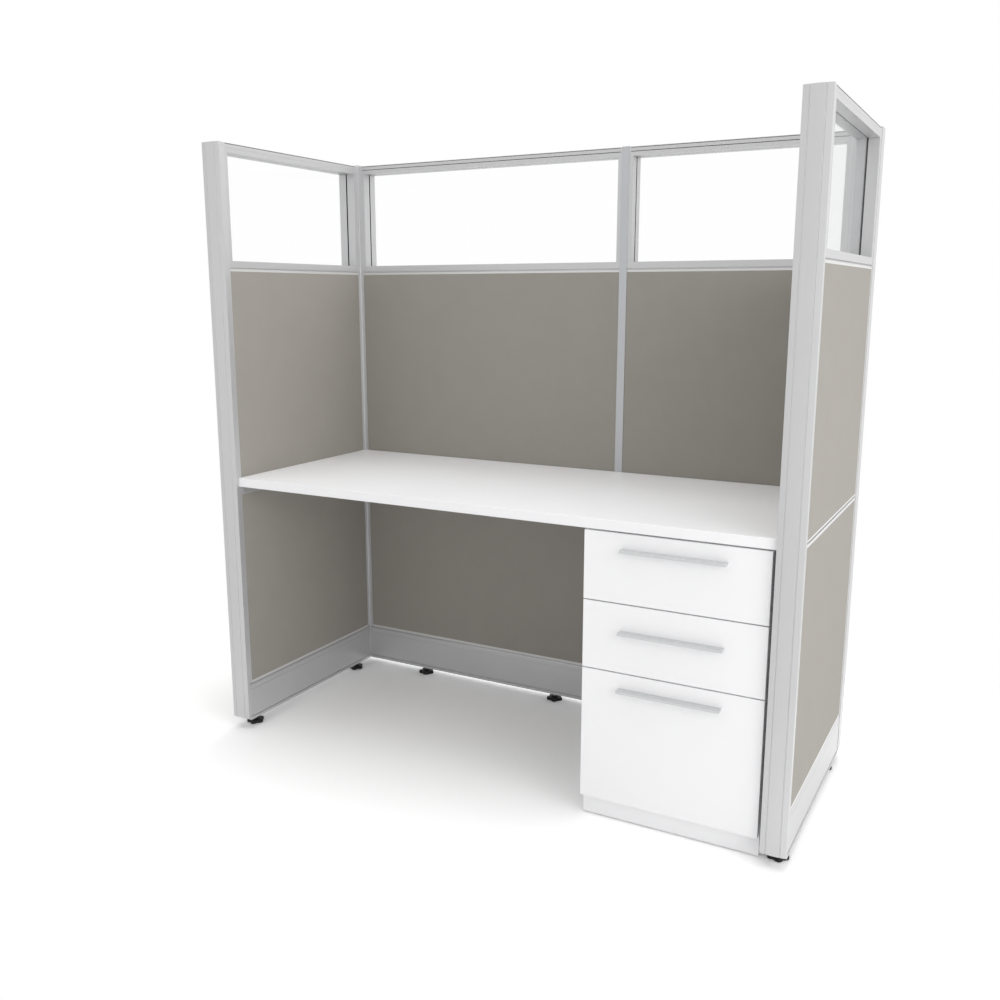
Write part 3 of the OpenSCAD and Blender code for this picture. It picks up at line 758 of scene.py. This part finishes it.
def screw_mesh(name, radius, height, points=32, steps=9):
    """A domed head on z = 0 with a cross recess, made of rings and one Boolean."""
    angles = [math.tau * k / points for k in range(points)]
    profile = [(radius, 0.0), (radius, height * 0.25)]
    for s in range(1, steps):
        bend = math.pi / 2 * s / steps
        profile.append((radius * math.cos(bend) ** 0.7,
                        height * (0.25 + 0.75 * math.sin(bend))))
    rings = [[(r * math.cos(a), r * math.sin(a), z) for a in angles] for r, z in profile]
    head = bpy.data.objects.new(name, ring_mesh(name, rings))
    cross = cross_cutter(radius * 0.2, radius * 0.55, height * 1.1, height)
    cutter = bpy.data.objects.new("cutter", cross)
    for o in (head, cutter):
        bpy.context.collection.objects.link(o)
    cut = head.modifiers.new("cross", "BOOLEAN")
    cut.object = cutter
    cut.operation = "DIFFERENCE"
    cut.solver = "EXACT"
    # the two wedges of the cutter cross each other
    cut.use_self = True
    bpy.context.view_layer.update()
    evaluated = head.evaluated_get(bpy.context.evaluated_depsgraph_get())
    mesh = bpy.data.meshes.new_from_object(evaluated)
    bpy.data.objects.remove(head)
    bpy.data.objects.remove(cutter)
    return mesh


pan_head = screw_mesh("pan_head", 0.0040, 0.0022)
flat_head = screw_mesh("flat_head", 0.0032, 0.0006)
print("faces of a pan head:", len(pan_head.polygons))

# %% Stamp screws on a body
CROSS_TURN = 0.7


def stamp_screws(name, pattern, places, body):
    """Joins a copy of the pattern at each (point, direction it faces) into one piece."""
    bm = bmesh.new()
    for k, (point, facing) in enumerate(places):
        turn = Vector((0, 0, 1)).rotation_difference(Vector(facing)).to_matrix().to_4x4()
        # no two crosses stop at the same angle
        spin = Matrix.Rotation(CROSS_TURN * k, 4, "Z")
        start = len(bm.verts)
        bm.from_mesh(pattern)
        bm.verts.ensure_lookup_table()
        move = Matrix.Translation(Vector(point)) @ turn @ spin
        for v in bm.verts[start:]:
            v.co = move @ v.co
    mesh = bpy.data.meshes.new(name)
    bm.to_mesh(mesh)
    bm.free()
    mesh.shade_smooth()
    return add_piece(name, mesh, zinc, body, 35.0)


print("turn from one cross to the next, degrees:", round(math.degrees(CROSS_TURN)))

# %% Screws of the brackets
STEEL = 0.003
desk_low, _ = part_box("worksurface")
arm_low, arm_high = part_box("worksurface_brackets")
seam_low, seam_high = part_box("seam_cover")
under = desk_low.z - STEEL
left_face = arm_low.x + STEEL
seam_x = (seam_low.x + seam_high.x) / 2
wall_y = seam_low.y - STEEL
places = []
# the angle along the left return, up into the worksurface and sideways into the panel
for share in (0.08, 0.29, 0.5, 0.71, 0.92):
    y = arm_low.y + (arm_high.y - arm_low.y) * share
    places.append(((arm_low.x + 0.015, y, under), (0, 0, -1)))
    places.append(((left_face, y + 0.03, desk_low.z - 0.0155), (1, 0, 0)))
# the arm on the seam, up into the worksurface
for reach in (0.06, 0.24, 0.42):
    for side in (-0.0115, 0.0115):
        places.append(((seam_x + side, seam_low.y - reach, under), (0, 0, -1)))
# the arm's plate, into the seam cover
for drop in (0.022, 0.05, 0.08):
    for side in (-0.0065, 0.0065):
        places.append(((seam_x + side, wall_y, desk_low.z - drop), (0, -1, 0)))
stamp_screws("bracket_screws", pan_head, places, "station")
print("bracket screws:", len(places))

# %% [markdown]
# ## Inside the drawers
# With a drawer pulled out, its box shows the screws that hold the front, and the
# runner members show flat-headed ones that hardly stand out of the steel. Two soft
# bumpers on each side of a front's back fill most of the 3 mm gap to the case when the
# drawer is shut. They are stacks of rings that close in towards a domed top. All of it is
# placed from the boxes of the drawer's own solids, so it stays right if a drawer changes.

# %% Bumpers
PAD_R = 0.0045
PAD_H = 0.0026
# share of the radius and of the height, from the foot of a pad over its dome
DOME = [(1.0, 0.0), (1.0, 0.55), (0.94, 0.8), (0.78, 0.94), (0.45, 1.0)]


def bumper_mesh(name, centres, points=24):
    """Small domed pads that face back, each a stack of rings along Y, in one mesh."""
    bm = bmesh.new()
    for cx, cy, cz in centres:
        rings = []
        for share, rise in DOME:
            rings.append([
                (cx + PAD_R * share * math.cos(math.tau * k / points),
                 cy + PAD_H * rise,
                 cz - PAD_R * share * math.sin(math.tau * k / points))
                for k in range(points)
            ])
        bm.from_mesh(ring_mesh("pad", rings))
    mesh = bpy.data.meshes.new(name)
    bm.to_mesh(mesh)
    bm.free()
    mesh.shade_smooth()
    return mesh


print("bumper, mm high:", PAD_H * 1000)

# %% Screws and bumpers of the drawers
BOX_WALL = 0.012
WEB = 0.0012
SCREW_IN = 0.03
PAD_IN = 0.0095
PAD_UP = 0.02
for d in (1, 2, 3):
    body = f"drawer_{d}"
    low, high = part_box(f"drawer_box_{d}")
    inner = low.y + BOX_WALL
    middle = (low.x + high.x) / 2
    places = []
    for side in (-0.13, 0.13):
        for z in (low.z + SCREW_IN, high.z - SCREW_IN):
            places.append(((middle + side, inner, z), (0, 1, 0)))
    stamp_screws(f"front_screws_{d}", pan_head, places, body)
    in_low, in_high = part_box(f"runner_inners_{d}")
    mid_z = (in_low.z + in_high.z) / 2
    flats = []
    for y in (0.03, 0.17, 0.33, 0.47):
        flats.append(((low.x - WEB, in_low.y + y, mid_z), (-1, 0, 0)))
        flats.append(((high.x + WEB, in_low.y + y, mid_z), (1, 0, 0)))
    stamp_screws(f"runner_screws_{d}", flat_head, flats, body)
    f_low, f_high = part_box(f"drawer_front_{d}")
    corners = [(x, f_high.y, z) for x in (f_low.x + PAD_IN, f_high.x - PAD_IN)
               for z in (f_low.z + PAD_UP, f_high.z - PAD_UP)]
    mesh = bumper_mesh(f"bumpers_{d}", corners)
    add_piece(f"drawer_bumpers_{d}", mesh, black_rubber, body)
    print(body, "screws:", len(places) + len(flats), "bumpers:", len(corners))

# %% [markdown]
# ## White studio
# The workstation stands in a white studio. More light would turn the background white,
# but burn out the white boards as well. So the Light Path node tells the world to look
# white to the camera, and to mirrors and glass, while it lights the object at a plain
# level.

# %% World
WORLD_LEVEL = 0.64
WHITE = (1.0, 1.0, 1.0, 1.0)


def seen(graph):
    """1 for a ray that shows the background: from the camera, a mirror or glass."""
    path = graph.node("ShaderNodeLightPath")
    seen_or_glossy = path["Is Camera Ray"].at_least(path["Is Glossy Ray"])
    return seen_or_glossy.at_least(path["Is Transmission Ray"])


def backdrop(graph, strength):
    inputs = {"Color": WHITE, "Strength": strength}
    return graph.node("ShaderNodeBackground", inputs=inputs)["Background"]


world = bpy.data.worlds.new("studio")
world.use_nodes = True
bpy.context.scene.world = world
studio = Graph(world.node_tree, "ShaderNodeOutputWorld")
studio.show(studio.mix(seen(studio), backdrop(studio, WORLD_LEVEL), backdrop(studio, 1.0)))
print("world level:", WORLD_LEVEL)

# %% [markdown]
# ## Floor
# The floor has to be white and yet keep the object's soft shadow. Its own pale paint
# would render as a light grey, so where it is seen, a diffuse shader on top lifts it to
# white without hiding the shadow. Away from the station it fades into plain white, as a
# studio's curved backdrop does, because a lifted floor never matches the backdrop
# exactly. All other rays meet the pale paint alone, which throws back as much light as
# a real floor.

# %% Floor shader
FLOOR_LIFT = 0.33
FADE_START = 0.1
FADE_END = 0.9
DUST = 3.0

floor_finish = Finish("white_floor")
dust = floor_finish.noise(DUST, 3.0)
floor_finish.set(
    Base_Color=floor_finish.tones(dust, (1.0, 1.0, 1.0), 0.895, 0.905),
    Roughness=0.9,
    Specular_IOR_Level=0.1,
)
bright = {"Color": (FLOOR_LIFT, FLOOR_LIFT, FLOOR_LIFT, 1.0)}
lift = floor_finish.node("ShaderNodeBsdfDiffuse", inputs=bright)["BSDF"]
both = {0: floor_finish.own, 1: lift}
lifted = floor_finish.node("ShaderNodeAddShader", inputs=both)["Shader"]

x, y, _ = floor_finish.place()
past_x = (abs(x) - cad_high.x).at_least(0.0)
past_y = (abs(y) - cad_high.y).at_least(0.0)
away = (past_x * past_x + past_y * past_y) ** 0.5
fade = floor_finish.node(
    "ShaderNodeMapRange",
    {"interpolation_type": "SMOOTHSTEP"},
    {"Value": away, "From Min": FADE_START, "From Max": FADE_END},
)["Result"]
blank = floor_finish.node("ShaderNodeEmission")["Emission"]
faded = floor_finish.mix(fade, lifted, blank)
floor_finish.show(floor_finish.mix(seen(floor_finish), floor_finish.own, faded))
print("floor white from, m off the station:", FADE_END)

# %% Floor mesh
FLOOR_HALF = 40.0
FLOOR_DROP = 0.0002

bm = bmesh.new()
bmesh.ops.create_grid(bm, x_segments=8, y_segments=8, size=FLOOR_HALF)
floor_mesh = bpy.data.meshes.new("floor")
bm.to_mesh(floor_mesh)
bm.free()
floor = bpy.data.objects.new("floor", floor_mesh)
bpy.context.collection.objects.link(floor)
floor.location.z = -FLOOR_DROP
paint(floor, floor_finish.material)
print("floor, m wide:", FLOOR_HALF * 2)

# %% [markdown]
# ## Lamps
# Large round softboxes light the station as a studio does: most from the right and from
# above, a little from the left. Small lamps would throw hard shadows, so these are 3 to
# 4.5 m wide. Gloss mirrors a lamp as a bright patch, which would wash out the silver of
# faces that look straight at the lamps above and at the right. Those lamps are hidden
# from gloss, which sees the white studio there instead.

# %% Soft lamps
MIDDLE = (0.1, 0.0, 0.8)
# name, place, width, watts, what it faces, and if gloss mirrors it
LAMPS = [
    ("right", (5.0, -0.6, 1.8), 4.5, 36.0, MIDDLE, False),
    ("front", (4.0, -3.4, 1.8), 4.0, 28.0, MIDDLE, True),
    ("left_front", (-3.5, -4.0, 1.8), 4.0, 7.0, MIDDLE, True),
    ("back_right", (3.8, 3.0, 2.0), 4.0, 10.0, MIDDLE, True),
    ("back_top", (0.3, 2.6, 4.0), 4.5, 64.0, (0.1, -0.2, 0.8), False),
    ("top", (0.0, 0.2, 4.5), 3.6, 54.0, (0.0, 0.2, 0.0), False),
    ("right_low", (3.6, -1.8, 1.5), 3.0, 34.0, (0.8, 0.0, 0.3), True),
]


def softbox(name, place, width, watts, target, mirrored):
    lamp = bpy.data.lights.new(name, "AREA")
    lamp.shape = "DISK"
    lamp.size = width
    lamp.energy = watts
    thing = bpy.data.objects.new(name, lamp)
    thing.location = place
    aim = (Vector(target) - Vector(place)).to_track_quat("-Z", "Y")
    thing.rotation_mode = "QUATERNION"
    thing.rotation_quaternion = aim
    thing.visible_glossy = mirrored
    bpy.context.collection.objects.link(thing)


for lamp in LAMPS:
    softbox(*lamp)
bpy.context.scene.view_settings.view_transform = "Standard"
print("lamps:", len(LAMPS), "watts in all:", sum(lamp[3] for lamp in LAMPS))

# %% [markdown] ## The end
